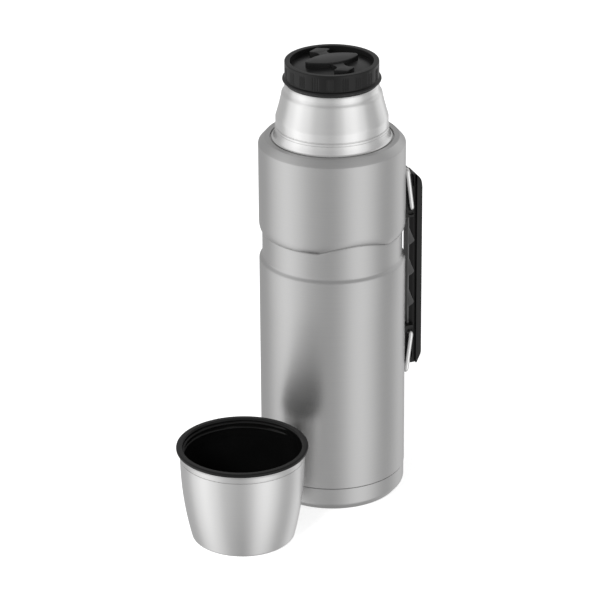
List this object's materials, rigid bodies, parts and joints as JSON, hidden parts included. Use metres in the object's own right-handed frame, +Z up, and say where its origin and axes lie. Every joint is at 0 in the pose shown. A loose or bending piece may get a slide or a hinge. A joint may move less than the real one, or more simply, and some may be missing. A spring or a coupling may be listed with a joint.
{
  "type": "vacuum flask",
  "caption": "Steel vacuum flask with a screw stopper, a separate steel drinking cup and a fold-out side handle on wire bails.",
  "frame": {"origin": "on the surface it stands on, at the flask's axis, in the middle of the base", "axes": "+Z up along the flask's axis, +X towards the handle, -Y towards the side whose badge place is left bare"},
  "size_m": [0.209, 0.1608, 0.3412],
  "materials": {
    "satin_steel": "satin, finely brushed round the axis",
    "bright_steel": "bright, finely brushed",
    "inner_steel": "plain drawn steel",
    "wire_steel": "polished",
    "foil": "bright foil",
    "dark_metal": "black coated",
    "grip_black": "fine grained",
    "pad_black": "soft touch",
    "stopper_black": "satin moulded",
    "insert_black": "satin moulded",
    "liner_black": "smooth moulded",
    "seal_grey": "matt silicone",
    "foam_white": "closed cell foam"
  },
  "bodies": {
    "flask": {"outer_body": "satin_steel", "outer_bottom": "inner_steel", "base_cap": "satin_steel", "neck_shell": "bright_steel", "inner_vessel": "inner_steel", "inner_neck": "inner_steel", "radiation_foil": "foil", "getter": "inner_steel", "vacuum_plug": "inner_steel", "upper_bracket": "dark_metal", "lower_bracket": "dark_metal"},
    "upper_bail": {"upper_bail": "wire_steel"},
    "lower_bail": {"lower_bail": "wire_steel"},
    "grip": {"grip_shell": "grip_black", "grip_pad": "pad_black", "grip_screws": "inner_steel"},
    "stopper_seals": {"stopper_seal_upper": "seal_grey", "stopper_seal_lower": "seal_grey"},
    "stopper": {"stopper_cap": "stopper_black", "stopper_insert": "insert_black", "stopper_plug": "stopper_black", "stopper_foam": "foam_white", "stopper_bottom": "stopper_black"},
    "cup": {"cup_shell": "bright_steel", "cup_liner": "liner_black"}
  },
  "joints": [
    {"name": "upper_bail_swing", "type": "hinge", "parent": "flask", "child": "upper_bail", "pos_m": [0.0561, 0, 0.2482], "axis": [0, -1, 0], "range_deg": [0, 40]},
    {"name": "lower_bail_swing", "type": "hinge", "parent": "flask", "child": "lower_bail", "pos_m": [0.0561, 0, 0.0858], "axis": [0, 1, 0], "range_deg": [0, 40]},
    {"name": "grip_level", "type": "hinge", "parent": "upper_bail", "child": "grip", "pos_m": [0.06, 0, 0.2174], "axis": [0, 1, 0], "range_deg": [0, 40]},
    {"name": "stopper_rise", "type": "slide", "parent": "flask", "child": "stopper_seals", "axis": [0, 0, 1], "range_m": [0, 0.0451]},
    {"name": "stopper_turn", "type": "hinge", "parent": "stopper_seals", "child": "stopper", "pos_m": [0, 0, 0.3], "axis": [0, 0, 1], "range_deg": [0, 1080]},
    {"name": "cup_lift", "type": "slide", "parent": "flask", "child": "cup", "axis": [0, 0, 1], "range_m": [0, 0.3]}
  ],
  "couplings": [
    {"joint": "lower_bail_swing", "follows": "upper_bail_swing", "ratio": 1},
    {"joint": "grip_level", "follows": "upper_bail_swing", "ratio": 1},
    {"joint": "stopper_rise", "follows": "stopper_turn", "m_per_rad": 0.0023873}
  ]
}
